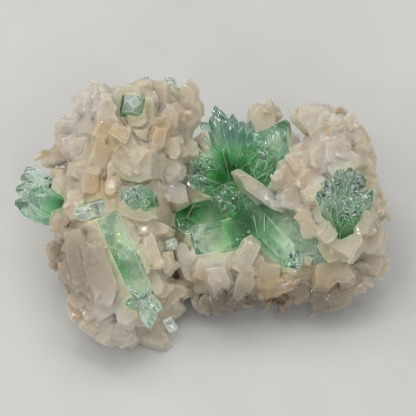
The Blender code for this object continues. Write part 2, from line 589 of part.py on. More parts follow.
def make_matrix(groups, material):
    """The stilbite: rock and blades in one piece, flat below, with sockets for the crystals."""
    matrix = make_rock()
    rock_shape = evaluated_bmesh(matrix)
    tree = BVHTree.FromBMesh(rock_shape)
    blades = bmesh.new()
    taken = []
    for seat in face_blade_seats(tree):
        root, along, _, length = seat[:4]
        add_blade(blades, *seat)
        taken.append(root + along * (TAKEN_SHARE * length))
    for seat in hidden_blade_seats(rock_shape, taken):
        add_blade(blades, *seat)
    rock_shape.free()
    guides = [matrix.modifiers[0].object]
    guides.append(as_object("stilbite_blades", blades, is_guide=True))
    add_boolean(matrix, guides[-1], "UNION")

    sockets = bmesh.new()
    for crystals in groups:
        for layout in crystals:
            add_crystal(sockets, layout, SOCKET_GAP)
    guides.append(as_object("crystal_sockets", sockets, is_guide=True))
    add_boolean(matrix, guides[-1], "DIFFERENCE")

    below = bmesh.new()
    bmesh.ops.create_cube(below, size=1.0, matrix=Matrix.Translation((0.0, 0.0, -0.5)))
    guides.append(as_object("broken_base", below, is_guide=True))
    add_boolean(matrix, guides[-1], "DIFFERENCE")

    merging = matrix.modifiers.new("Merge_slivers", "DECIMATE")
    merging.ratio = MATRIX_DETAIL
    whole = evaluated_bmesh(matrix)
    drop_crumbs(whole)
    for vert in whole.verts:
        if vert.co.z < BASE_SNAP:
            vert.co.z = 0.0
    matrix.modifiers.clear()
    whole.to_mesh(matrix.data)
    whole.free()
    for guide in guides:
        bpy.data.objects.remove(guide)
    matrix.data.materials.append(material)
    return matrix


def build_specimen():
    """Make every piece of the specimen."""
    for item in list(bpy.data.objects):
        bpy.data.objects.remove(item)
    stilbite = make_material("stilbite_cream", (0.62, 0.50, 0.36), 0.45, 0.0)
    green = make_material("apophyllite_green", (0.10, 0.42, 0.20), 0.05, 0.8)
    clear = make_material("apophyllite_clear", (0.75, 0.85, 0.80), 0.05, 0.9)
    groups = {
        "apophyllite_centre_cluster": CENTRE_CLUSTER,
        "apophyllite_right_cluster": RIGHT_CLUSTER,
        "apophyllite_left_spray": LEFT_SPRAY,
        "apophyllite_long_blade": LONG_BLADE,
        **SINGLE_CRYSTALS,
    }
    for name, crystals in groups.items():
        make_crystal_group(name, crystals, clear if "clear" in name else green)
    make_matrix(groups.values(), stilbite)


build_specimen()
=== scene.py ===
"""Dresses the green apophyllite specimen: fused stilbite, glassy crystals and a plain studio.

The display face has its own millimetres, right, up and out of the face, as in the part's
source. The function face_to_room turns them into the resting pose.
"""
import math

import bmesh
import bpy
import numpy as np
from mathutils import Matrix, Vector


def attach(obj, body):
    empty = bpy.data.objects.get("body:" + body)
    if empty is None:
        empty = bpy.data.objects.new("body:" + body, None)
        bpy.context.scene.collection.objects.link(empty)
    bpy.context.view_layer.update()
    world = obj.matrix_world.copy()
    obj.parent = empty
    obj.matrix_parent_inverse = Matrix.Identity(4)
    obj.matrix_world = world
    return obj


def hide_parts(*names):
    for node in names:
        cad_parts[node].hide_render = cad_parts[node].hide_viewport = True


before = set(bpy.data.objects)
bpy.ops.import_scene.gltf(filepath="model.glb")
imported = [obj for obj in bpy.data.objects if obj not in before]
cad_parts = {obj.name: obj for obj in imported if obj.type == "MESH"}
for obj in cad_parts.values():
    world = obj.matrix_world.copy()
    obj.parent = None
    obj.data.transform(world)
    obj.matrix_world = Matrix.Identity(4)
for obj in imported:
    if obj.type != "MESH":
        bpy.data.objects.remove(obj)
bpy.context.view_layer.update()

bl_info = {
    "name": "Green apophyllite specimen",
    "version": (1, 0, 0),
    "blender": (4, 5, 0),
    "location": "View3D > Sidebar > Specimen",
    "description": "Stilbite crust, glassy apophyllite crystals and a plain studio",
    "category": "Object",
}

MM = 0.001

# The display face of the CAD model: how it leans, its zero point, and its directions right,
# up and outward as columns
FACE_LEAN = math.radians(60.0)
FACE_ZERO = np.array((-0.73, -2.46, 28.0)) * MM
FACE_TURN = np.array((
    (1.0, 0.0, 0.0),
    (0.0, math.sin(FACE_LEAN), -math.cos(FACE_LEAN)),
    (0.0, math.cos(FACE_LEAN), math.sin(FACE_LEAN)),
))
MERGE = 0.002 * MM                  # loose CAD triangles are joined where corners are this close
FLAT_ANGLE = math.radians(0.6)      # faces that differ by less are one facet

# The photograph's frame: its width in millimetres of the display face, and its middle
FRAME_WIDTH = 138.67
FRAME_MIDDLE = (2.667, 2.0, 0.0)

MATRIX = "stilbite_matrix"
CLEAR_NODES = (
    "apophyllite_left_crystal", "apophyllite_clear_peak", "apophyllite_clear_ridge",
    "apophyllite_clear_seam", "apophyllite_clear_foot",
)

# Where each green group is deep in colour: hearts in face millimetres, each with its reach
GREEN_HEARTS = {
    "apophyllite_centre_cluster": (
        (16.0, -3.0, -2.0, 15.0), (11.0, 16.0, -8.0, 16.0), (-4.0, 1.0, -4.0, 8.5),
    ),
    "apophyllite_right_cluster": ((47.7, -8.0, 7.0, 12.0),),
    "apophyllite_left_spray": ((-45.0, 2.0, -4.0, 11.0),),
    "apophyllite_long_blade": ((-29.0, -19.0, 12.0, 7.5), (-27.5, -30.5, 12.0, 7.0)),
    "apophyllite_mid_crystal": ((-13.5, 4.0, 12.0, 8.0),),
    "apophyllite_top_crystal": ((-29.0, 35.0, 12.0, 7.0), (-16.5, 36.0, 12.0, 6.5)),
}
DEPTH_SHARE = 0.9                   # how much less the depth counts in the distance from a heart
MILKINESS = {"apophyllite_top_crystal": 0.4}            # how clouded a group is

# Which way a group is striated, right and up, and how much less that way counts in its noise
GRAINS = {"apophyllite_long_blade": (0.403, -0.915)}
GRAIN_SHARE = 0.95

# Round zones of a green group, seen square to the display face: right, up, radius in millimetres
ZONES = {
    "apophyllite_centre_cluster": {
        "teal": ((4.9, 34.0, 8.0), (10.0, 31.0, 9.0), (15.3, 29.0, 8.0)),
        "sparkle": (
            (-1.3, 14.0, 6.0), (10.3, 5.7, 6.0), (14.5, -9.5, 2.5), (22.3, 22.3, 3.5),
            (33.0, -15.0, 3.5),
        ),
        "milk": ((26.0, 24.5, 5.0),),
    },
    "apophyllite_right_cluster": {"sparkle": ((48.0, 6.5, 9.0),), "milk": ((48.0, 3.0, 3.0),)},
    "apophyllite_left_spray": {"sparkle": ((-54.0, 8.5, 4.0), (-50.0, 12.0, 3.0))},
    "apophyllite_long_blade": {
        "milk": ((-24.7, -13.2, 2.6),), "sparkle": ((-22.0, -24.5, 2.0), (-19.0, -30.0, 3.5)),
    },
    "apophyllite_top_crystal": {},
    "apophyllite_mid_crystal": {"milk": ((-21.0, 6.5, 5.0),), "sparkle": ((-21.0, 6.5, 5.0),)},
}

# Patches of the stilbite with a colour of their own, or with painted shade, in face millimetres:
# right, up, radius, weight
PATCHES = {
    "tan_patch": (
        (-31.0, 25.0, 8.0, 1.0), (-34.0, 9.0, 6.0, 1.0), (-12.0, 25.0, 5.0, 0.5),
        (0.0, 10.0, 5.0, 0.6), (41.0, -21.0, 7.0, 0.7), (24.0, -23.0, 8.0, 0.8),
        (-1.0, -22.0, 4.0, 0.8), (30.0, 14.0, 5.0, 0.5), (-13.0, 28.0, 3.0, 0.9),
        (42.0, 28.0, 1.6, 1.2), (-31.0, 19.0, 1.6, 1.2),
    ),
    "pale_patch": (
        (-38.0, 38.0, 9.0, 1.0), (-42.0, 28.0, 8.0, 0.6), (40.0, 31.0, 8.0, 0.4),
        (-25.0, -42.0, 10.0, 0.7), (4.0, -18.0, 6.0, 0.6), (23.0, 4.0, 7.0, 1.0),
        (-8.0, 9.0, 5.0, 1.0), (44.0, 17.0, 7.0, 1.0), (-31.0, -31.0, 6.0, 0.9),
    ),
    # Pinkish patches, dark enough to carry painted shade as well, most of all on the lower left
    "rose_patch": (
        (-41.0, -13.0, 13.0, 1.0), (-34.0, -28.0, 10.0, 0.5), (-42.0, 22.0, 9.0, 0.4),
        (-10.0, 36.0, 7.0, 0.3), (48.0, 24.0, 8.0, 0.3), (-16.0, -36.0, 7.0, 0.4),
    ),
    # Painted shade: the lower parts of the crust are darkened towards grey
    "grey_patch": (
        (22.0, -31.0, 12.0, 1.0), (42.0, -30.0, 11.0, 0.9), (6.0, -31.0, 8.0, 0.9),
        (-30.0, -46.0, 7.0, 0.5), (-46.0, -22.0, 7.0, 0.4),
    ),
}

# Outlines of a fine stilbite blade, as shares of its width and of its length from the root
FINE_OUTLINES = np.array((
    ((-0.42, 0.0), (0.42, 0.0), (0.5, 0.55), (0.34, 0.9), (-0.1, 1.0), (-0.5, 0.7)),
    ((-0.45, 0.0), (0.45, 0.0), (0.5, 0.6), (0.46, 0.94), (-0.2, 1.0), (-0.5, 0.84)),
    ((-0.4, 0.0), (0.4, 0.0), (0.5, 0.5), (0.3, 0.78), (0.04, 1.0), (-0.5, 0.62)),
))
FRONT_SHARE = 0.82                  # the outer face of a blade is this much smaller

# Kinds of fine blades: the setting that counts them, their length in millimetres, their lean
# in degrees, the seed of their draw, and how far out of the display face their seats look
BLADE_KINDS = (
    ("blades", (5.0, 10.0), (0.0, 12.0), 3, (-1.0, 1.0)),
    ("rim_blades", (2.4, 4.8), (15.0, 50.0), 4, (-0.4, 0.4)),
    ("side_blades", (4.0, 9.0), (5.0, 35.0), 6, (-1.0, 0.15)),
)

# Every fine blade: width and thickness as shares of its length, the limits of its thickness,
# its greatest roll about its own length in degrees, and the share of its length that is sunk in
BLADE_WIDTHS = (0.45, 0.8)
BLADE_THICKS = (0.16, 0.3)
BLADE_LIMITS = (0.7 * MM, 1.8 * MM)
BLADE_ROLL = 35.0
BLADE_SUNK = 0.5

# Room that the fine blades leave: a distance, and a share of their width or of their length
CRYSTAL_ROOM = (1.4 * MM, 0.6)
FLOOR_ROOM = (1.5 * MM, 0.5)

# The fused crust
SMOOTH_SHARE = 0.5                  # how far the steps of its cells are smoothed
KEPT_TRIANGLES = 0.28               # share of its triangles
FREE_FROM = 0.6                     # up to this many millimetres from a crystal it isn't reshaped
FREE_RISE = 1.2                     # and it is fully reshaped this much farther out

# Rounds of moving each point to the mean of its neighbours: to round the corners, to find the
# level that hollows are filled up to, and to find the hollows that the material darkens
WAX_ROUNDS = 8
LEVEL_ROUNDS = 90
HOLLOW_ROUNDS = 30

# Optics: refractive indices, how far light wanders in the stilbite and the shares of that for
# red, green and blue, what a colourless crystal lets through, and two whites
STILBITE_IOR = 1.5
APOPHYLLITE_IOR = 1.535
FLAKE_IOR = 1.9
GLOW_DEPTH = 6.0 * MM
GLOW_SHARES = (1.0, 0.75, 0.5)
CLEAR_TINT = (0.85, 0.98, 0.92)
CLOUD_WHITE = (0.97, 1.0, 0.98)
SILVER_WHITE = (0.97, 1.0, 0.95)
NOISE_ROUGHNESS = 0.55
ZONE_RISE = 0.75                    # of the way in from its rim, where a zone is at its full

# Edges of the crystals, bevelled and whitened as a painted highlight: how silvery they are, and the
# size of the bars
CLEAR_EDGE_HIGHLIGHT = {"haze": 0.4, "white": 0.85}
EDGE_HIGHLIGHT = {"haze": 0.6, "white": 0.85}
HIGHLIGHT_BEVEL_ANGLE = math.radians(18.0)     # faces that differ by more meet in a bevelled edge, which gets the painted highlight
EDGE_ANGLE = math.radians(24.0)     # faces that differ by more meet in a bright edge
EDGE_LENGTH = 1.8 * MM              # the shortest bright edge
EDGE_SHARE = 0.8                    # of the long edges are bright
EDGE_WIDTHS = (0.04, 0.11)          # half widths of the bars in millimetres
EDGE_TAPER = (0.8, 0.4)             # share of the length where a bar tapers, and size of its end
SIDE_HINT = np.array((0.31, 0.17, 0.93))                # a direction that no prism has

# Flakes inside the sparkling crystals, in millimetres, with widths as shares of the lengths
FLAKE_SEATS = 6000                  # places tried on each group
FLAKE_LOOKS = 0.2                   # a seat's normal points at least this far out of the face
FLAKE_DEPTHS = (0.4, 1.5)
FLAKE_LENGTHS = (1.0, 2.6)
FLAKE_WIDTHS = (0.35, 0.8)
FLAKE_THICKNESS = 0.08

# The middle fan in face millimetres: its heart, the heart of its green with its reach, and its
# tips, each in degrees from the right and millimetres from the heart
FAN_HEART = (11.7, 11.3)
FAN_GREEN = ((*FAN_HEART, -6.0, 18.0),)
FAN_TIPS = np.array((
    (58.0, 17.0), (62.7, 19.4), (75.7, 20.2), (85.6, 19.8), (94.0, 22.2), (105.0, 25.6),
    (116.0, 21.6), (127.0, 19.5), (140.0, 17.0), (152.0, 15.5),
))
FAN_START = 5.0                     # the ribs begin this far from the heart
FAN_REACH = (0.68, 1.0)             # and end at a share of the way to the tips
FAN_ROOT_DEPTHS = (-8.0, -5.0)
FAN_TIP_DEPTHS = (-8.0, -2.5)
FAN_WIDTHS = (0.35, 0.8)            # half widths of the ribs
FAN_TAPER = (0.9, 0.3)              # share of the length where a rib tapers, and size of its end

# The studio in metres and watts; a lamp stands right, up and out from the middle of the face
FLOOR_HALF = 1.5
FLOOR_SHADE = 0.94                  # how much of its colour the floor keeps in its darker parts
SOFTBOXES = {
    "top_softbox": ((-0.10, 0.55, 0.45), (0.7, 0.5), 2.2),
    "front_fill": ((0.35, -0.35, 0.9), (0.8, 0.8), 0.3),
    "left_strip": ((-0.6, 0.1, 0.35), (0.12, 0.6), 0.6),
}
GLINT_TURN = math.radians(137.5)    # from one glint lamp to the next
GLINT_LEAN = math.radians(75.0)     # of the outermost lamp from the view
GLINT_DISTANCE = 0.7
GLINT_HEIGHT = 0.1                  # lower ones are left out
GLINT_SIZE = (0.06, 0.06)
GLINT_POWER = 0.21
SKY_COLOUR = (0.86, 0.88, 0.89, 1.0)
SKY_STRENGTH = 0.34
SENSOR_WIDTH = 36.0

SEEDS = {"crystal points": 5, "fan": 8, "edges": 12, "flakes": 15}


def face_to_room(points):
    """Points of the display face, in millimetres, as points of the room, in metres."""
    return np.asarray(points, dtype=float) @ FACE_TURN.T * MM + FACE_ZERO


def room_to_face(points):
    """Points of the room, in metres, as points of the display face, in millimetres."""
    return (points - FACE_ZERO) @ FACE_TURN / MM


def unit(vectors):
    """Each vector divided by its own length."""
    return vectors / np.maximum(np.linalg.norm(vectors, axis=-1, keepdims=True), 1e-12)


def move_points(mesh, points):
    """Give a mesh new points and work out its normals again."""
    mesh.vertices.foreach_set("co", points.ravel())
    mesh.update()


def rows(items, field="co", kind=float, each=3):
    """What the points, edges, faces or corners of a mesh hold in a field, a row for each."""
    values = np.empty(len(items) * each, dtype=kind)
    items.foreach_get(field, values)
    return values.reshape(-1, each)


def triangles_of(node):
    """Corners of every triangle of a CAD node, as an array of triangles, corners and axes."""
    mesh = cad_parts[node].data
    mesh.calc_loop_triangles()
    return rows(mesh.vertices)[rows(mesh.loop_triangles, "vertices", int)]


def scatter(triangles, count, chance):
    """Random points of a surface and its normals there.

    A triangle is drawn with a chance that goes with its area, and the point is
    a + r(b - a) + s(c - a), where r and s are folded back when their sum passes 1.
    """
    crossed = np.cross(triangles[:, 1] - triangles[:, 0], triangles[:, 2] - triangles[:, 0])
    areas = np.linalg.norm(crossed, axis=1)
    drawn = chance.choice(len(triangles), size=count, p=areas / areas.sum())
    shares = chance.random((count, 2))
    shares = np.where(shares.sum(axis=1, keepdims=True) > 1.0, 1.0 - shares, shares)
    a, b, c = (triangles[drawn, corner] for corner in range(3))
    return a + shares[:, :1] * (b - a) + shares[:, 1:] * (c - a), unit(crossed[drawn])


def nearest_distance(points, others, step=4000):
    """Distance from each point to the nearest of the others, by |p|^2 + |q|^2 - 2 p.q."""
    found = np.empty(len(points))
    others = (others / MM).astype(np.float32)
    squares = (others ** 2).sum(axis=1)
    for start in range(0, len(points), step):
        block = (points[start:start + step] / MM).astype(np.float32)
        table = (block ** 2).sum(axis=1)[:, None] + squares[None, :] - 2.0 * block @ others.T
        found[start:start + step] = table.min(axis=1)
    return np.sqrt(np.maximum(found, 0.0)) * MM


def link(name, data):
    """Put a mesh, a lamp or a camera into the scene as an object."""
    piece = bpy.data.objects.new(name, data)
    bpy.context.scene.collection.objects.link(piece)
    return piece


def prism_mesh(name, rings):
    """Closed solids from an array of solids, rings, ring points and axes.

    Neighbouring rings are joined by four-sided faces, and the first and last ring
    of each solid are its two ends.
    """
    solids, layers, around = rings.shape[:3]
    first = np.arange(solids)[:, None, None] * layers * around
    ring = np.arange(layers - 1)[None, :, None] * around
    here = np.arange(around)[None, None, :]
    following = (here + 1) % around
    low = first + ring
    quads = np.stack(
        (low + here, low + following, low + around + following, low + around + here), axis=-1,
    )
    starts = first[:, 0, :] + np.arange(around)[None, ::-1]
    ends = first[:, 0, :] + (layers - 1) * around + np.arange(around)[None, :]
    faces = quads.reshape(-1, 4).tolist() + starts.tolist() + ends.tolist()
    mesh = bpy.data.meshes.new(name)
    mesh.from_pydata(rings.reshape(-1, 3).tolist(), [], faces)
    return mesh


def blade_rings(roots, along, facing, lengths, widths, thicks, outlines):
    """Rings of tabular blades: each outline drawn twice, the outer one a little smaller.

    A ring point is root + across * x * width + along * y * length, moved to the back
    or the front by half of the thickness.
    """
    across = unit(np.cross(along, facing))
    front = np.cross(across, along)
    rings = []
    for side, share in ((-0.5, 1.0), (0.5, FRONT_SHARE)):
        x = outlines[:, :, 0] * share * widths[:, None]
        y = (0.5 + (outlines[:, :, 1] - 0.5) * share) * lengths[:, None]
        ring = roots[:, None, :] + x[..., None] * across[:, None, :]
        ring = ring + y[..., None] * along[:, None, :]
        rings.append(ring + (side * thicks)[:, None, None] * front[:, None, :])
    return np.stack(rings, axis=1)


def fine_blades(crystals, count, sizes, lean, seed, looks):
    """Rings of fine blades, strewn over the matrix but clear of the crystals.

    Each leans out of the surface by an angle between the two of lean, in a random
    direction, and a part of its length is sunk in. Only those seats are kept where the
    surface's normal has a share out of the display face between the two of looks.
    """
    chance = np.random.default_rng(seed)
    spots, normals = scatter(triangles_of(MATRIX), count, chance)
    lengths = chance.uniform(*sizes, count) * MM
    widths = lengths * chance.uniform(*BLADE_WIDTHS, count)
    thicks = np.clip(lengths * chance.uniform(*BLADE_THICKS, count), *BLADE_LIMITS)
    angle = np.radians(chance.uniform(*lean, count))
    sideways = unit(np.cross(normals, chance.normal(size=(count, 3))))
    along = sideways * np.cos(angle)[:, None] + normals * np.sin(angle)[:, None]
    facing = unit(normals * np.cos(angle)[:, None] - sideways * np.sin(angle)[:, None])
    roll = np.radians(chance.uniform(-BLADE_ROLL, BLADE_ROLL, count))[:, None]
    facing = facing * np.cos(roll) + np.cross(along, facing) * np.sin(roll)
    roots = spots - along * (lengths * BLADE_SUNK)[:, None]
    outlines = FINE_OUTLINES[chance.integers(0, len(FINE_OUTLINES), count)]
    tips = roots + along * lengths[:, None]
    clear = np.minimum(nearest_distance(spots, crystals), nearest_distance(tips, crystals))
    out = normals @ FACE_TURN[:, 2]
    kept = clear > CRYSTAL_ROOM[0] + CRYSTAL_ROOM[1] * widths
    kept &= spots[:, 2] > FLOOR_ROOM[0] + FLOOR_ROOM[1] * lengths
    kept &= (out > looks[0]) & (out < looks[1])
    shapes = (roots, along, facing, lengths, widths, thicks, outlines)
    return blade_rings(*(values[kept] for values in shapes))


def prism_rings(roots, tips, half_widths, rolls, shoulder, end):
    """Rings of square prisms that taper to a small end past a shoulder.

    A ring point is root + share * (tip - root) + half width * size * (a cos + b sin),
    with the corner's angle turned by the roll.
    """
    axis = unit(tips - roots)
    side = unit(np.cross(axis, SIDE_HINT))
    other = np.cross(axis, side)
    turn = rolls[:, None] + np.arange(4) * (0.5 * math.pi)
    corner = np.cos(turn)[..., None] * side[:, None, :]
    corner = corner + np.sin(turn)[..., None] * other[:, None, :]
    rings = []
    for share, size in ((0.0, 1.0), (shoulder, 1.0), (1.0, end)):
        middle = roots + share * (tips - roots)
        rings.append(middle[:, None, :] + size * half_widths[:, None, None] * corner)
    return np.stack(rings, axis=1)


def patch_weights(points, patches):
    """How strongly each point lies in round patches: the sum of weight * exp(-(d / r)^2)."""
    face = room_to_face(points)
    total = np.zeros(len(points))
    for right, up, radius, weight in patches:
        apart = (face[:, 0] - right) ** 2 + (face[:, 1] - up) ** 2
        total += weight * np.exp(-apart / radius ** 2)
    return np.minimum(total, 1.0)


def merged_copy(node, name):
    """A copy of a CAD node's mesh with its loose triangles joined and its facets whole."""
    shape = bmesh.new()
    shape.from_mesh(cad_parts[node].data)
    bmesh.ops.remove_doubles(shape, verts=shape.verts, dist=MERGE)
    bmesh.ops.dissolve_limit(shape, angle_limit=FLAT_ANGLE, verts=shape.verts, edges=shape.edges)
    mesh = bpy.data.meshes.new(name)
    shape.to_mesh(mesh)
    shape.free()
    return mesh


def settled(item, name):
    """The mesh of an object with its modifiers, as a mesh of its own."""
    graph = bpy.context.evaluated_depsgraph_get()
    mesh = bpy.data.meshes.new_from_object(item.evaluated_get(graph), depsgraph=graph)
    mesh.name = name
    return mesh


def eased(mesh, points, rounds):
    """Points of a mesh after each has been moved to the mean of its neighbours, rounds times."""
    first, second = rows(mesh.edges, "vertices", int, 2).T
    both = np.concatenate((first, second))
    across = np.concatenate((second, first))
    count = len(points)
    share = np.maximum(np.bincount(both, minlength=count), 1)
    for _ in range(rounds):
        points = np.stack([
            np.bincount(both, weights=points[across, axis], minlength=count) / share
            for axis in range(points.shape[1])
        ], axis=1)
    return points


def paint(mesh, name, values):
    """Keep one number for each point of a mesh, for its material to read."""
    layer = mesh.attributes.new(name, "FLOAT", "POINT")
    layer.data.foreach_set("value", values.astype(np.float32))


class Value:
    """A socket that gives a number, which Python's arithmetic turns into Math nodes."""

    def __init__(self, recipe, socket):
        self.recipe = recipe
        self.socket = socket

    def math(self, operation, *others):
        """A Math node of this number and the others."""
        sockets = dict(enumerate((self, *others)))
        return self.recipe.add("Math", {"operation": operation}, sockets)

    def __add__(self, other):
        return self.math("ADD", other)

    def __sub__(self, other):
        return self.math("SUBTRACT", other)

    def __mul__(self, other):
        return self.math("MULTIPLY", other)

    def __truediv__(self, other):
        return self.math("DIVIDE", other)

    def __rsub__(self, other):
        return self.recipe.add("Math", {"operation": "SUBTRACT"}, {0: other, 1: self})

    __radd__ = __add__
    __rmul__ = __mul__

    def between(self, low, high):
        """Nought below low, one above high, and a smooth rise between them."""
        return self.recipe.add("MapRange", {"interpolation_type": "SMOOTHSTEP"}, {
            "Value": self, "From Min": low, "From Max": high,
        })


class Recipe:
    """One material, whose nodes are added by a single method."""

    def __init__(self, name):
        self.material = bpy.data.materials.new(name)
        self.material.use_nodes = True
        self.tree = self.material.node_tree
        self.shader = self.tree.nodes["Principled BSDF"]
        self.output = self.tree.nodes["Material Output"]

    def add(self, kind, settings=None, sockets=None, output=0):
        """Add a node: its settings, a ramp's stops among them, then its sockets."""
        node = self.tree.nodes.new("ShaderNode" + kind)
        for name, value in (settings or {}).items():
            if name != "stops":
                setattr(node, name, value)
        for index, (place, colour) in enumerate((settings or {}).get("stops", ())):
            ramp = node.color_ramp.elements
            stop = ramp[index] if index < 2 else ramp.new(place)
            stop.position = place
            stop.color = (*colour, 1.0)
        self.feed(node, sockets or {})
        return Value(self, node.outputs[output])

    def feed(self, node, sockets):
        """Link or set the sockets of a node, given by number or by name with underscores."""
        for name, value in sockets.items():
            socket = node.inputs[name.replace("_", " ") if isinstance(name, str) else name]
            if isinstance(value, Value):
                self.tree.links.new(value.socket, socket)
            elif isinstance(value, tuple) and len(socket.default_value) == 4:
                socket.default_value = (*value, 1.0)
            else:
                socket.default_value = value

    def mix(self, share, first, second):
        """Mix two colours, each from a socket or as three numbers."""
        first, second = (
            colour if isinstance(colour, Value) else tuple(colour) for colour in (first, second)
        )
        return self.add("Mix", {"data_type": "RGBA"}, {0: share, 6: first, 7: second}, 2)

    def vector(self, operation, first, second=None, output=0):
        """One step of vector arithmetic."""
        sockets = {0: first} if second is None else {0: first, 1: second}
        return self.add("VectorMath", {"operation": operation}, sockets, output)

    def place(self):
        """Where a point of the surface is, in millimetres."""
        spot = self.add("TexCoord", output=3)
        return self.add("VectorMath", {"operation": "SCALE"}, {0: spot, "Scale": 1.0 / MM})

    def noise(self, where, size, detail):
        """Noise whose features are about size millimetres across, around a half."""
        sockets = {
            "Vector": where, "Scale": 1.0 / size, "Detail": detail, "Roughness": NOISE_ROUGHNESS,
        }
        return self.add("TexNoise", {"noise_dimensions": "3D"}, sockets)

    def squash(self, vector, axis, share):
        """A vector less a share of what it has along an axis: v - a (v . a) share."""
        along = self.vector("DOT_PRODUCT", vector, axis, output=1) * share
        drawn = self.add("VectorMath", {"operation": "SCALE"}, {0: axis, "Scale": along})
        return self.vector("SUBTRACT", vector, drawn)

    def facets(self, where, size):
        """Height of flat grains, each size millimetres across and tilted its own way.

        It is the dot product of the grain's random tilt and the way from its middle.
        """
        sockets = {"Vector": where, "Scale": 1.0 / size}
        tilt = self.vector("SUBTRACT", self.add("TexVoronoi", None, sockets, 1), (0.5, 0.5, 0.5))
        away = self.vector("SUBTRACT", where, self.add("TexVoronoi", None, sockets, 2))
        return self.vector("DOT_PRODUCT", tilt, away, output=1)

    def zone(self, where, spots):
        """One in the middle of the nearest round zone and nought outside it."""
        if not spots:
            return 0.0
        right, up = (
            self.vector("DOT_PRODUCT", where, tuple(axis), output=1) for axis in FACE_TURN.T[:2]
        )
        best = None
        for across, high, radius in spots:
            middle = face_to_room((across, high, 0.0)) / MM
            beside = right - float(middle @ FACE_TURN[:, 0])
            above = up - float(middle @ FACE_TURN[:, 1])
            inside = 1.0 - (beside * beside + above * above) / radius ** 2
            best = inside if best is None else best.math("MAXIMUM", inside)
        return best.between(0.0, ZONE_RISE)

    def read(self, name):
        """A number painted on the mesh."""
        settings = {"attribute_type": "GEOMETRY", "attribute_name": name}
        return self.add("Attribute", settings, output=2)

    def bump(self, height, strength, distance, below=None):
        """A bump of the given height field, with distance in millimetres."""
        sockets = {"Height": height, "Strength": strength, "Distance": distance * MM}
        if below is not None:
            sockets["Normal"] = below
        return self.add("Bump", None, sockets)

    def finish(self, **sockets):
        """Set the shader's own sockets."""
        self.feed(self.shader, sockets)
        return self.material

    def frost(self, share, **sockets):
        """Lay a second shader over the first wherever share says so."""
        second = self.add("BsdfPrincipled", None, sockets)
        first = Value(self, self.shader.outputs[0])
        both = self.add("MixShader", None, {0: share, 1: first, 2: second})
        self.tree.links.new(both.socket, self.output.inputs["Surface"])


def stilbite_material(name, settings):
    """Cream stilbite: peach, white and pinkish patches, a painted highlight on the ridges, painted
    shade in the tan hollows, on the lower parts and under the crystals, and a painted green glow
    beside the crystals.
    """
    recipe = Recipe(name)
    spot = recipe.place()
    drift = recipe.noise(spot, size=16.0, detail=2.0)
    mottle = recipe.noise(spot, size=4.0, detail=4.0)
    grain = recipe.noise(spot, size=0.8, detail=4.0)
    drawn = recipe.vector("MULTIPLY", spot, (1.0, 0.3, 0.45))
    wrinkle = recipe.noise(drawn, size=1.3, detail=4.0)
    # Blotches of darker painted shade under the crystals
    shade_blotch = recipe.noise(spot, size=2.4, detail=2.0)
    hollow = recipe.read("hollow")
    near = recipe.read("near")
    # Painted highlight: ridges, where the hollow measure is below nought, are mixed towards white
    edges = (0.0 - hollow).between(0.1, 0.9)
    # Painted shade in the hollows together with their tan colour: deeper hollows are mixed towards
    # tan
    depth = (hollow + (mottle - 0.5) * 0.5).between(0.05, 1.3)
    stain = (recipe.read("tan_patch") * (mottle + 0.35)).between(0.0, 1.0)
    halo = 1.0 - near.between(0.5, 4.0)
    # Painted shade under the crystals, which cast no shadow: surfaces within about a millimetre of
    # a crystal take the dark socket colour and its darker blotches
    socket = 1.0 - near.between(0.5, 0.95)
    under = recipe.mix(shade_blotch.between(0.42, 0.6), settings.socket, settings.shade_blotch)
    colour = recipe.mix(drift.between(0.42, 0.6), settings.cream, settings.peach)
    for share, over in (
        (mottle.between(0.35, 0.75) * 0.55, settings.white),
        # painted highlight on the ridges
        (edges * 0.5, settings.white),
        (wrinkle.between(0.45, 0.7) * 0.3, settings.white),
        (grain.between(0.55, 0.75) * 0.25, settings.tan),
        # pinkish colour with painted shade
        (recipe.read("rose_patch") * 0.7, settings.rose_and_shade),
        # painted shade on the lower parts
        (recipe.read("grey_patch") * 0.8, settings.underside_shade),
        (recipe.read("pale_patch") * 0.7, settings.frosty),
        (stain * 0.75, settings.ochre),
        # hollows: tan colour and painted shade
        (depth * 0.6, settings.tan),
        (halo * 0.3, settings.glow),
        # painted shade under the crystals
        (socket * 0.9, under),
    ):
        colour = recipe.mix(share, colour, over)
    relief = None
    for height, strength, distance in (
        (grain, 0.35, 0.4),
        (wrinkle, 0.5, 0.6),
        (recipe.facets(spot, 1.6), 0.36, 1.1),
        (mottle, 0.35, 1.2),
    ):
        relief = recipe.bump(height, strength, distance, relief)
    recipe.shader.subsurface_method = "RANDOM_WALK"
    return recipe.finish(
        Base_Color=colour, Roughness=0.30 + grain * 0.28, Normal=relief, Subsurface_Weight=0.85,
        Subsurface_Radius=GLOW_SHARES, Subsurface_Scale=GLOW_DEPTH, IOR=STILBITE_IOR,
        Specular_IOR_Level=0.5, Coat_Weight=0.25 + mottle.between(0.45, 0.65) * 0.6,
        Coat_Roughness=0.08,
    )


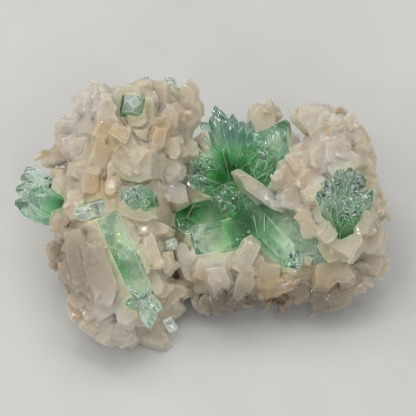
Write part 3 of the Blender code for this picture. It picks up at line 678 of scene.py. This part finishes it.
def apophyllite_material(name, settings, hearts=(), tint=None, haze=0.04, white=0.5, zones=None,
                         grain=None):
    """Transparent apophyllite: green about its hearts, paler towards the tips, finely ribbed.

    The ribs are noise of the direction from the first heart, so they run out along the crystals,
    or noise drawn out along the grain, where a group has one. The silvery share is what the
    surface shows of fine growth steps. The haze adds to it, and white says how white it is. In a
    sparkling zone the surface is broken into small tilted grains, and a milky zone is clouded.
    """
    recipe = Recipe(name)
    zones = zones or {}
    spot = recipe.place()
    cloud = recipe.noise(spot, size=5.0, detail=3.0)
    fleck = recipe.noise(spot, size=0.5, detail=1.0)
    sparkle, milk, teal = (
        recipe.zone(spot, zones.get(kind, ())) for kind in ("sparkle", "milk", "teal")
    )
    if not hearts:
        colour = recipe.mix(cloud.between(0.4, 0.7) * 0.4, settings.clear, CLOUD_WHITE)
        ribs = recipe.noise(spot, size=1.2, detail=2.0)
    else:
        away = None
        for *heart, reach in hearts:
            apart = recipe.vector("SUBTRACT", spot, tuple(face_to_room(heart) / MM))
            level = recipe.squash(apart, tuple(FACE_TURN[:, 2]), DEPTH_SHARE)
            far = recipe.vector("LENGTH", level, output=1) / reach
            away, out = (far, apart) if away is None else (away.math("MINIMUM", far), out)
        away = away + (cloud - 0.5) * 0.4
        if grain:
            drawn = recipe.squash(spot, tuple(FACE_TURN @ (*grain, 0.0)), GRAIN_SHARE)
            ribs = recipe.noise(drawn, size=0.8, detail=3.0)
        else:
            ribs = recipe.noise(recipe.vector("NORMALIZE", out), size=0.05, detail=3.0)
        shade = recipe.add("ValToRGB", {"stops": (
            (0.1, settings.deep),
            (1.0, settings.pale),
            (0.45, settings.green),
            (0.75, settings.light),
        )}, {0: away})
        colour = recipe.mix(ribs.between(0.4, 0.75) * 0.25, shade, settings.pale)
        colour = recipe.mix(teal * 0.7, colour, settings.teal)
    relief = recipe.bump(ribs, 0.4, 0.45)
    relief = recipe.bump(cloud, 0.1, 0.8, relief)
    relief = recipe.bump(recipe.facets(spot, 1.3) * (sparkle + 0.07), 1.0, 1.5, relief)
    recipe.finish(
        Base_Color=colour, Roughness=0.03, Normal=relief, Transmission_Weight=settings.clearness,
        IOR=APOPHYLLITE_IOR,
    )
    silver = ribs.between(0.56, 0.7) * 0.18 + fleck.between(0.62, 0.68) * sparkle * 0.5
    silver = silver + milk * cloud.between(0.3, 0.6) * 0.12 + haze
    if hearts:
        silver = silver * away.between(0.1, 0.7)
    recipe.frost(
        silver, Base_Color=recipe.mix(white, colour, SILVER_WHITE), Roughness=0.2,
        Transmission_Weight=0.2, IOR=APOPHYLLITE_IOR, Normal=relief,
    )
    absorb = recipe.add("VolumeAbsorption", None, {
        "Color": tuple(tint or settings.absorb), "Density": settings.density,
    })
    recipe.tree.links.new(absorb.socket, recipe.output.inputs["Volume"])
    return recipe.material


def colour_property(name, description, default):
    """A colour that the panel shows."""
    return bpy.props.FloatVectorProperty(
        name=name, description=description, default=default, subtype="COLOR",
        size=3, min=0.0, max=1.0,
    )


def share_property(name, description, default):
    """A share from nought to one that the panel shows."""
    return bpy.props.FloatProperty(
        name=name, description=description, default=default, subtype="FACTOR",
        min=0.0, max=1.0,
    )


def count_property(name, description, default):
    """How many of something there are, which the panel shows."""
    return bpy.props.IntProperty(
        name=name, description=description, default=default, min=0, max=9000,
    )


class StilbiteSettings(bpy.types.PropertyGroup):
    """Sizes and colours of the stilbite."""

    cream: colour_property("Cream", "Main colour of the stilbite", (0.535, 0.465, 0.33))
    peach: colour_property("Peach", "Warm patches", (0.55, 0.435, 0.30))
    # White serves the real bright patches and also the painted highlight on the ridges
    white: colour_property("White", "Edges and bright patches", (0.58, 0.54, 0.46))
    # Tan is also the painted shade in the hollows, besides the tan grain
    tan: colour_property("Tan", "Colour of the hollows", (0.36, 0.24, 0.11))
    ochre: colour_property("Ochre", "Colour of the stained patches", (0.50, 0.35, 0.17))
    # Pinkish colour, darkened with painted shade
    rose_and_shade: colour_property("Rose", "Colour of the pinkish patches", (0.26, 0.185, 0.135))
    # Colour of the painted shade on the lower parts
    underside_shade: colour_property("Grey", "Colour of the greyish underside", (0.13, 0.115, 0.085))
    frosty: colour_property("Frosty", "Colour of the palest patches", (0.57, 0.545, 0.505))
    glow: colour_property("Glow", "Green light beside the crystals", (0.42, 0.50, 0.24))
    # The socket colour and the darker patch colour are painted shade under the crystals, which cast
    # no shadow
    socket: colour_property("Socket", "What lies under the crystals", (0.20, 0.225, 0.12))
    shade_blotch: colour_property("Flaw", "Dark patches under the crystals", (0.10, 0.125, 0.06))
    voxel: bpy.props.FloatProperty(
        name="Grain", description="Edge of the cells in which the blades are fused",
        default=0.42 * MM, min=0.3 * MM, max=2.0 * MM, subtype="DISTANCE", unit="LENGTH",
    )
    blades: count_property("Fine blades", "Blades strewn over the face at first", 180)
    rim_blades: count_property("Rim blades", "Small blades strewn for the outline at first", 1300)
    side_blades: count_property("Side blades", "Blades strewn for the sides at first", 1000)
    filling: share_property("Filling", "How far hollows between blades are grown over", 0.95)
    flattening: share_property("Flattening", "How far the face's blades are grown level", 0.35)
    waxing: share_property("Waxing", "How far the corners of the blades are rounded", 0.25)


class ApophylliteSettings(bpy.types.PropertyGroup):
    """Sizes and colours of the apophyllite."""

    deep: colour_property("Deep green", "Colour at the heart of a group", (0.01, 0.20, 0.01))
    green: colour_property("Green", "Colour outside the heart", (0.32, 0.74, 0.38))
    light: colour_property("Light green", "Colour near the tips", (0.70, 0.87, 0.71))
    pale: colour_property("Pale", "Colour of the tips", (0.91, 0.955, 0.92))
    teal: colour_property("Teal", "Colour of the bluish tips", (0.30, 0.55, 0.47))
    # Colour of the painted shade on the inner flakes
    flake_shade: colour_property("Dull", "Colour of the inner flakes in shade", (0.02, 0.035, 0.03))
    clear: colour_property("Clear", "Colour of the colourless crystals", (0.985, 0.988, 0.965))
    absorb: colour_property("Absorption", "What the green crystal lets through", (0.25, 0.86, 0.52))
    clearness: share_property("Clearness", "Share of the light that passes the surface", 0.95)
    density: bpy.props.FloatProperty(
        name="Density", description="Absorption in each metre", default=62.0, min=0.0, max=2000.0,
    )
    flaws: bpy.props.FloatProperty(
        name="Flaws",
        description="How many inner flakes lie in a zone, over its radius squared in millimetres",
        default=0.9, min=0.0, max=10.0,
    )
    ribs: count_property("Fan ribs", "How many fine ribs the middle fan has", 46)
    # Width of the bevel whose faces carry the painted highlight along the edges
    bevel: bpy.props.FloatProperty(
        name="Edge", description="Width of the worn edge of a crystal",
        default=0.32 * MM, min=0.0, max=1.0 * MM, subtype="DISTANCE", unit="LENGTH",
    )


class StageSettings(bpy.types.PropertyGroup):
    """The plain studio."""

    floor: colour_property("Floor", "Colour of the floor", (0.62, 0.61, 0.59))
    glints: count_property("Glint lamps", "Small lamps spread over the half sphere in front", 16)
    distance: bpy.props.FloatProperty(
        name="Camera distance", description="From the lens to the display face",
        default=1.6, min=0.3, max=5.0, subtype="DISTANCE", unit="LENGTH",
    )


def paint_stilbite(mesh, near, hollow):
    """Paint what the stilbite's material reads: crystals near by, hollows, coloured patches and
    patches of painted shade.
    """
    paint(mesh, "near", near)
    paint(mesh, "hollow", hollow)
    points = rows(mesh.vertices)
    for name, patches in PATCHES.items():
        paint(mesh, name, patch_weights(points, patches))


def crystal_points(each=1.2):
    """Points strewn over every crystal, a given number to the square millimetre."""
    chance = np.random.default_rng(SEEDS["crystal points"])
    triangles = np.concatenate([triangles_of(name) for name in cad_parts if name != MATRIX])
    sides = triangles[:, 1:] - triangles[:, :1]
    area = 0.5 * np.linalg.norm(np.cross(sides[:, 0], sides[:, 1]), axis=1).sum()
    return scatter(triangles, int(each * area / MM ** 2), chance)[0]


class SPECIMEN_OT_stilbite(bpy.types.Operator):
    """Make the stilbite: the CAD matrix and fine blades, fused into one crust"""

    bl_idname = "specimen.stilbite"
    bl_label = "Stilbite crust"

    def execute(self, context):
        settings = context.scene.specimen_stilbite
        crystals = crystal_points()
        rings = np.concatenate([
            fine_blades(crystals, getattr(settings, counted), *kind)
            for counted, *kind in BLADE_KINDS
        ])
        shape = bmesh.new()
        shape.from_mesh(merged_copy(MATRIX, "matrix_copy"))
        shape.from_mesh(prism_mesh("fine_blades", rings))
        joined = bpy.data.meshes.new("stilbite_joined")
        shape.to_mesh(joined)
        shape.free()
        raw = link("stilbite_raw", joined)
        fuse = raw.modifiers.new("Fuse", "REMESH")
        fuse.mode = "VOXEL"
        fuse.voxel_size = settings.voxel
        smooth = raw.modifiers.new("Wax", "SMOOTH")
        smooth.factor = SMOOTH_SHARE
        smooth.iterations = 1
        thin = raw.modifiers.new("Thin", "DECIMATE")
        thin.ratio = KEPT_TRIANGLES
        mesh = settled(raw, "stilbite_crust")
        bpy.data.objects.remove(raw)
        points = rows(mesh.vertices)
        near = nearest_distance(points, crystals) / MM
        free = np.clip((near - FREE_FROM) / FREE_RISE, 0.0, 1.0)
        points += (settings.waxing * free)[:, None] * (eased(mesh, points, WAX_ROUNDS) - points)
        move_points(mesh, points)
        normals = rows(mesh.vertices, "normal")
        depth = ((eased(mesh, points, LEVEL_ROUNDS) - points) * normals).sum(axis=1)
        front = settings.flattening * np.clip(normals @ FACE_TURN[:, 2], 0.0, 1.0)
        depth *= np.where(depth > 0.0, settings.filling, front)
        points += normals * (free * depth)[:, None]
        points[:, 2] = np.maximum(points[:, 2], 0.0)
        move_points(mesh, points)
        hollow = ((eased(mesh, points, HOLLOW_ROUNDS) - points) * normals).sum(axis=1) / MM
        paint_stilbite(mesh, near, eased(mesh, hollow[:, None], 1)[:, 0])
        crust = link("stilbite_crust", mesh)
        mesh.materials.clear()
        mesh.materials.append(stilbite_material("stilbite", settings))
        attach(crust, "root")
        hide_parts(MATRIX)
        return {"FINISHED"}


class SPECIMEN_OT_crystals(bpy.types.Operator):
    """Make the apophyllite: each CAD group with crisp bevelled edges that carry a painted
    highlight, and its own green heart
    """

    bl_idname = "specimen.crystals"
    bl_label = "Apophyllite crystals"

    def execute(self, context):
        settings = context.scene.specimen_apophyllite
        clear = [
            apophyllite_material("apophyllite_clear", settings, tint=CLEAR_TINT, haze=0.03),
            apophyllite_material(
                "apophyllite_clear_edge", settings, tint=CLEAR_TINT, **CLEAR_EDGE_HIGHLIGHT,
            ),
        ]
        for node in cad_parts:
            if node == MATRIX:
                continue
            name = node.replace("apophyllite_", "crystal_")
            crystal = link(name, merged_copy(node, name))
            # The bevel takes the second material, whitened as a painted highlight along the edges
            edge = crystal.modifiers.new("Worn_edges", "BEVEL")
            edge.width = settings.bevel
            edge.segments = 1
            edge.material = 1
            edge.limit_method = "ANGLE"
            edge.angle_limit = HIGHLIGHT_BEVEL_ANGLE
            materials = clear
            if node not in CLEAR_NODES:
                green = {
                    "settings": settings, "hearts": GREEN_HEARTS[node], "zones": ZONES[node],
                    "grain": GRAINS.get(node),
                }
                materials = [
                    apophyllite_material(node, haze=MILKINESS.get(node, 0.0), **green),
                    apophyllite_material(node + "_edge", **EDGE_HIGHLIGHT, **green),
                ]
            # The crystals cast no shadow; the crust under them carries painted shade instead
            crystal.visible_shadow = False
            crystal.data.materials.clear()
            for material in materials:
                crystal.data.materials.append(material)
            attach(crystal, "root")
            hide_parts(node)
        return {"FINISHED"}


def sharp_edges(node):
    """The two ends of each long convex edge of a crystal group.

    An edge is convex where the normal of one face points away from the middle of the other,
    and sharp where the two normals are more than EDGE_ANGLE apart.
    """
    mesh = merged_copy(node, "edges_of_" + node)
    sides = rows(mesh.loops, "edge_index", int, 1)[:, 0]
    totals = rows(mesh.polygons, "loop_total", int, 1)[:, 0]
    faces = np.repeat(np.arange(len(totals)), totals)
    order = np.argsort(sides, kind="stable")
    order = order[np.bincount(sides)[sides[order]] == 2]
    first, second = faces[order].reshape(-1, 2).T
    normals = rows(mesh.polygons, "normal")
    middles = rows(mesh.polygons, "center")
    turned = (normals[first] * normals[second]).sum(axis=1) < math.cos(EDGE_ANGLE)
    convex = (normals[first] * (middles[second] - middles[first])).sum(axis=1) < 0.0
    chosen = sides[order].reshape(-1, 2)[:, 0][turned & convex]
    ends = rows(mesh.edges, "vertices", int, 2)[chosen]
    start, stop = (rows(mesh.vertices)[ends[:, side]] for side in range(2))
    long_enough = np.linalg.norm(stop - start, axis=1) > EDGE_LENGTH
    bpy.data.meshes.remove(mesh)
    return start[long_enough], stop[long_enough]


class SPECIMEN_OT_flaws(bpy.types.Operator):
    """Make the flaws inside the sparkling crystals, thin flakes tilted every way"""

    bl_idname = "specimen.flaws"
    bl_label = "Inner flaws"

    def execute(self, context):
        settings = context.scene.specimen_apophyllite
        chance = np.random.default_rng(SEEDS["flakes"])
        seats = []
        for node, zones in ZONES.items():
            spots, normals = scatter(triangles_of(node), FLAKE_SEATS, chance)
            face = room_to_face(spots)
            seen = normals @ FACE_TURN[:, 2] > FLAKE_LOOKS
            for right, up, radius in zones.get("sparkle", ()):
                inside = np.hypot(face[:, 0] - right, face[:, 1] - up) < radius
                count = int(settings.flaws * radius ** 2)
                chosen = np.flatnonzero(inside & seen)[:count]
                sunk = chance.uniform(*FLAKE_DEPTHS, len(chosen))[:, None] * MM
                seats.append(spots[chosen] - normals[chosen] * sunk)
        seats = np.concatenate(seats)
        count = len(seats)
        along = unit(chance.normal(size=(count, 3)))
        facing = unit(np.cross(along, chance.normal(size=(count, 3))))
        lengths = chance.uniform(*FLAKE_LENGTHS, count) * MM
        widths = lengths * chance.uniform(*FLAKE_WIDTHS, count)
        thicks = np.full(count, FLAKE_THICKNESS * MM)
        outlines = FINE_OUTLINES[chance.integers(0, len(FINE_OUTLINES), count)]
        rings = blade_rings(seats, along, facing, lengths, widths, thicks, outlines)
        flakes = link("crystal_flaws", prism_mesh("crystal_flaws", rings))
        recipe = Recipe("apophyllite_flaws")
        # Painted highlight and shade: each flake is painted either pale, as if lit, or dark, as if
        # in shade
        lit = recipe.noise(recipe.place(), size=1.6, detail=1.0).between(0.47, 0.53)
        flakes.data.materials.append(recipe.finish(
            Base_Color=recipe.mix(lit, settings.flake_shade, settings.pale), Roughness=0.06,
            Transmission_Weight=0.4, IOR=FLAKE_IOR, Coat_Weight=0.8, Coat_Roughness=0.03,
        ))
        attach(flakes, "root")
        return {"FINISHED"}


class SPECIMEN_OT_edges(bpy.types.Operator):
    """Make the bright edges of the crystals, thin whitish bars along them that are a painted
    highlight
    """

    bl_idname = "specimen.edges"
    bl_label = "Bright edges"

    def execute(self, context):
        settings = context.scene.specimen_apophyllite
        chance = np.random.default_rng(SEEDS["edges"])
        pairs = [sharp_edges(node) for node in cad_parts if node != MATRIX]
        start, stop = (np.concatenate([pair[side] for pair in pairs]) for side in range(2))
        kept = chance.random(len(start)) < EDGE_SHARE
        start, stop = start[kept], stop[kept]
        widths = chance.uniform(*EDGE_WIDTHS, len(start)) * MM
        rolls = chance.uniform(0.0, math.pi, len(start))
        rings = prism_rings(start, stop, widths, rolls, *EDGE_TAPER)
        # Painted highlight: whitish bars laid along the sharp edges
        bars = link("crystal_edges", prism_mesh("crystal_edges", rings))
        bars.data.materials.append(
            apophyllite_material("apophyllite_edges", settings, **EDGE_HIGHLIGHT))
        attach(bars, "root")
        return {"FINISHED"}


class SPECIMEN_OT_fan(bpy.types.Operator):
    """Make the fine ribs of the middle fan, which run out from its heart to its tips"""

    bl_idname = "specimen.fan"
    bl_label = "Fan ribs"

    def execute(self, context):
        settings = context.scene.specimen_apophyllite
        count = settings.ribs
        chance = np.random.default_rng(SEEDS["fan"])
        angle = np.radians(chance.uniform(FAN_TIPS[0, 0], FAN_TIPS[-1, 0], count))
        reach = np.interp(np.degrees(angle), FAN_TIPS[:, 0], FAN_TIPS[:, 1])
        reach = reach * chance.uniform(*FAN_REACH, count)
        out = np.stack((np.cos(angle), np.sin(angle)), axis=1)
        deep = chance.uniform(*FAN_ROOT_DEPTHS, count), chance.uniform(*FAN_TIP_DEPTHS, count)
        roots = np.column_stack((FAN_HEART + out * FAN_START, deep[0]))
        tips = np.column_stack((FAN_HEART + out * reach[:, None], deep[1]))
        widths = chance.uniform(*FAN_WIDTHS, count) * MM
        rolls = chance.uniform(0.0, math.pi, count)
        rings = prism_rings(face_to_room(roots), face_to_room(tips), widths, rolls, *FAN_TAPER)
        ribs = link("crystal_fan_ribs", prism_mesh("crystal_fan_ribs", rings))
        ribs.visible_shadow = False
        zones = ZONES["apophyllite_centre_cluster"]
        ribs.data.materials.append(
            apophyllite_material("apophyllite_fan", settings, FAN_GREEN, zones=zones))
        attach(ribs, "root")
        return {"FINISHED"}


def aim(item, place, target):
    """Put a lamp or the camera at a place and turn it to a target."""
    item.location = place
    item.rotation_euler = (Vector(target) - Vector(place)).to_track_quat("-Z", "Y").to_euler()


def softbox(name, place, target, size, power):
    """A rectangular area lamp."""
    light = bpy.data.lights.new(name, "AREA")
    light.shape = "RECTANGLE"
    light.size, light.size_y = size
    light.energy = power
    aim(link(name, light), place, target)


class SPECIMEN_OT_stage(bpy.types.Operator):
    """Make the plain floor, the soft lamps and the camera"""

    bl_idname = "specimen.stage"
    bl_label = "Stage"

    def execute(self, context):
        settings = context.scene.specimen_stage
        scene = context.scene
        mesh = bpy.data.meshes.new("floor")
        around = ((-1, -1), (1, -1), (1, 1), (-1, 1))
        corners = [(x * FLOOR_HALF, y * FLOOR_HALF, 0.0) for x, y in around]
        mesh.from_pydata(corners, [], [(0, 1, 2, 3)])
        floor = link("floor", mesh)
        recipe = Recipe("floor_paint")
        cloud = recipe.noise(recipe.place(), size=60.0, detail=3.0)
        darker = [FLOOR_SHADE * value for value in settings.floor]
        mesh.materials.append(recipe.finish(
            Base_Color=recipe.mix(cloud.between(0.3, 0.7), settings.floor, darker),
            Roughness=0.7,
        ))

        target = face_to_room(FRAME_MIDDLE)
        right, up, out = FACE_TURN.T
        for name, (way, size, power) in SOFTBOXES.items():
            softbox(name, target + FACE_TURN @ way, target, size, power)
        for index in range(settings.glints):
            turn = index * GLINT_TURN
            lean = GLINT_LEAN * math.sqrt((index + 0.5) / settings.glints)
            beside = math.cos(turn) * right + math.sin(turn) * up
            place = target + GLINT_DISTANCE * (math.cos(lean) * out + math.sin(lean) * beside)
            if place[2] > GLINT_HEIGHT:
                softbox(f"glint_{index}", place, target, GLINT_SIZE, GLINT_POWER)

        world = bpy.data.worlds.new("studio_air")
        scene.world = world
        world.use_nodes = True
        world.node_tree.nodes["Background"].inputs["Color"].default_value = SKY_COLOUR
        world.node_tree.nodes["Background"].inputs["Strength"].default_value = SKY_STRENGTH

        lens = bpy.data.cameras.new("camera")
        lens.sensor_width = SENSOR_WIDTH
        lens.lens = lens.sensor_width * settings.distance / (FRAME_WIDTH * MM)
        scene.camera = link("camera", lens)
        aim(scene.camera, target + settings.distance * out, target)
        scene.view_settings.view_transform = "Standard"
        return {"FINISHED"}


class SPECIMEN_PT_panel(bpy.types.Panel):
    """The specimen's settings and steps"""

    bl_idname = "SPECIMEN_PT_panel"
    bl_label = "Green apophyllite"
    bl_space_type = "VIEW_3D"
    bl_region_type = "UI"
    bl_category = "Specimen"

    def draw(self, context):
        for title, group, operators in STEPS:
            box = self.layout.box()
            box.label(text=title)
            settings = getattr(context.scene, group)
            for name in settings.__annotations__:
                box.prop(settings, name)
            for operator in operators:
                box.operator(operator.bl_idname)


STEPS = (
    ("Stilbite", "specimen_stilbite", (SPECIMEN_OT_stilbite,)),
    ("Apophyllite", "specimen_apophyllite", (
        SPECIMEN_OT_crystals, SPECIMEN_OT_edges, SPECIMEN_OT_flaws, SPECIMEN_OT_fan,
    )),
    ("Stage", "specimen_stage", (SPECIMEN_OT_stage,)),
)
GROUPS = {
    "specimen_stilbite": StilbiteSettings,
    "specimen_apophyllite": ApophylliteSettings,
    "specimen_stage": StageSettings,
}
OPERATORS = [operator for _, _, operators in STEPS for operator in operators]
CLASSES = (*GROUPS.values(), *OPERATORS, SPECIMEN_PT_panel)


def register():
    """Register the classes and hang the settings on the scene."""
    for item in CLASSES:
        bpy.utils.register_class(item)
    for name, group in GROUPS.items():
        setattr(bpy.types.Scene, name, bpy.props.PointerProperty(type=group))


def unregister():
    """Undo register."""
    for name in GROUPS:
        delattr(bpy.types.Scene, name)
    for item in reversed(CLASSES):
        bpy.utils.unregister_class(item)


def main():
    """Make the whole scene."""
    register()
    bpy.ops.specimen.stilbite()
    bpy.ops.specimen.crystals()
    bpy.ops.specimen.edges()
    bpy.ops.specimen.flaws()
    bpy.ops.specimen.fan()
    bpy.ops.specimen.stage()


if __name__ == "__main__":
    main()
